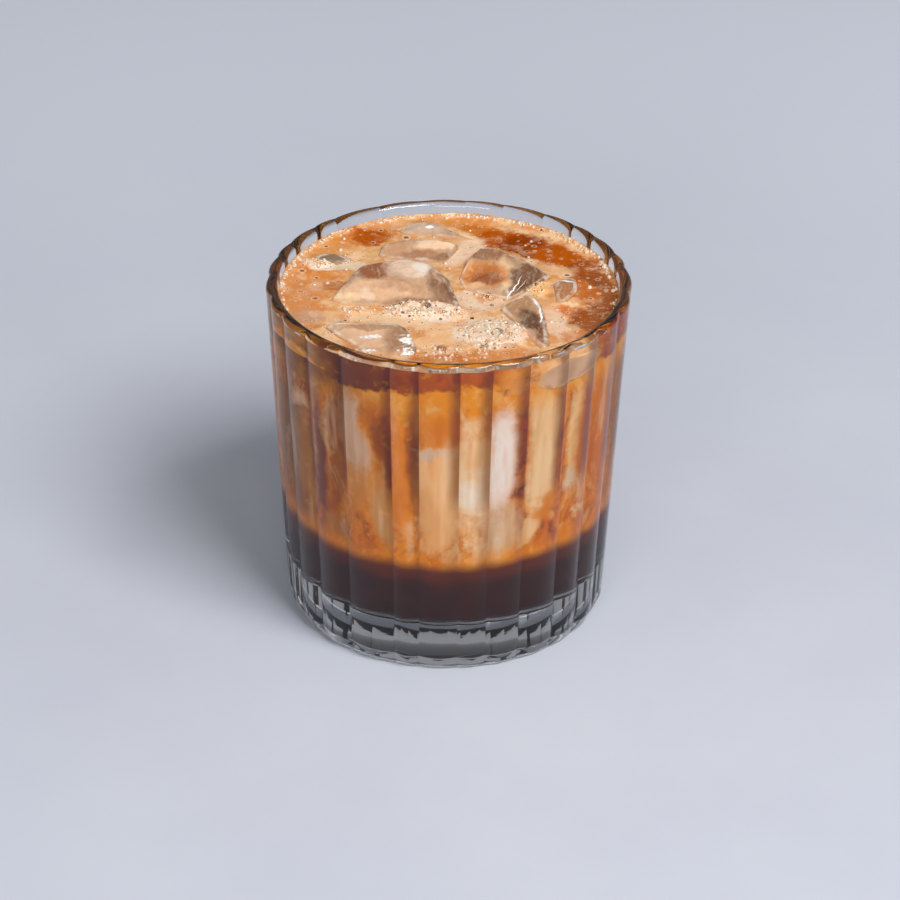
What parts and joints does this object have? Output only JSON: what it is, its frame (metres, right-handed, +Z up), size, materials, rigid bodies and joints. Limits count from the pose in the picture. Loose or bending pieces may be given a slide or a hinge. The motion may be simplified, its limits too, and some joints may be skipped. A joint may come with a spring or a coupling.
{
  "type": "iced mocha",
  "caption": "Layered iced mocha in a ribbed tumbler: dark chocolate, milk coffee and crema foam with floating ice.",
  "frame": {"origin": "centre of the foot, on the surface that the glass stands on", "axes": "+Z up along the glass's axis, the front towards -Y, +X to the right seen from the front"},
  "size_m": [0.0838, 0.0838, 0.0825],
  "materials": {
    "tumbler_glass": "clear and polished",
    "dark_chocolate": "dark wet liquid",
    "milk_coffee": "marbled wet liquid",
    "crema_foam": "fine foam with bubbles",
    "ice": "clear melting ice"
  },
  "bodies": {
    "root": {"glass": "tumbler_glass", "chocolate_layer": "dark_chocolate", "milk_coffee": "milk_coffee", "crema_foam": "crema_foam", "ice_middle_left": "ice", "ice_back_middle": "ice", "ice_back_wall": "ice", "ice_middle_right": "ice", "ice_front_right": "ice", "ice_right": "ice", "ice_front_left": "ice", "ice_left_wall": "ice", "ice_front": "ice"}
  },
  "joints": []
}
